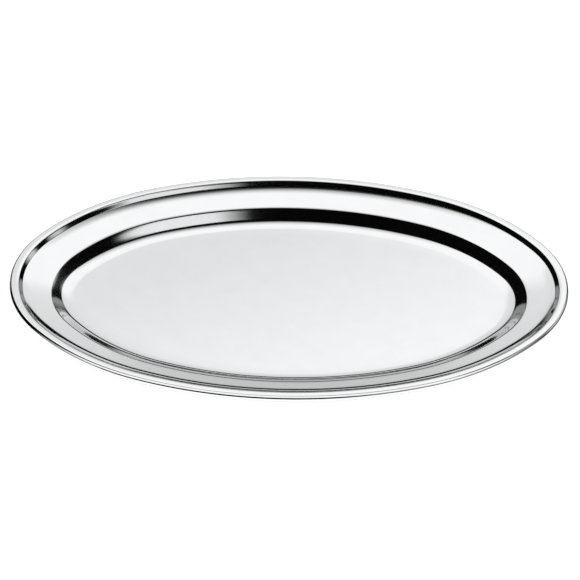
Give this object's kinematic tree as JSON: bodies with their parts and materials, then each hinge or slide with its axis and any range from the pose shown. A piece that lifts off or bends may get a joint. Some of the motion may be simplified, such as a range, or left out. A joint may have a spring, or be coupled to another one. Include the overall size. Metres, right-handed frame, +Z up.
{
  "type": "serving tray",
  "caption": "Shallow oval metal serving tray with a flat well, a sloping flange and a rolled edge, for carrying and serving food.",
  "frame": {"origin": "centre of the underside of the well, on the surface that the tray stands on", "axes": "+X along the tray's length, +Y across its width towards the back, +Z up"},
  "size_m": [0.45, 0.3, 0.017],
  "materials": {
    "polished_steel": "mirror-polished stainless steel sheet",
    "steel_wire": "plain drawn steel wire"
  },
  "bodies": {
    "root": {"tray_body": "polished_steel", "rim_wire": "steel_wire"}
  },
  "joints": []
}
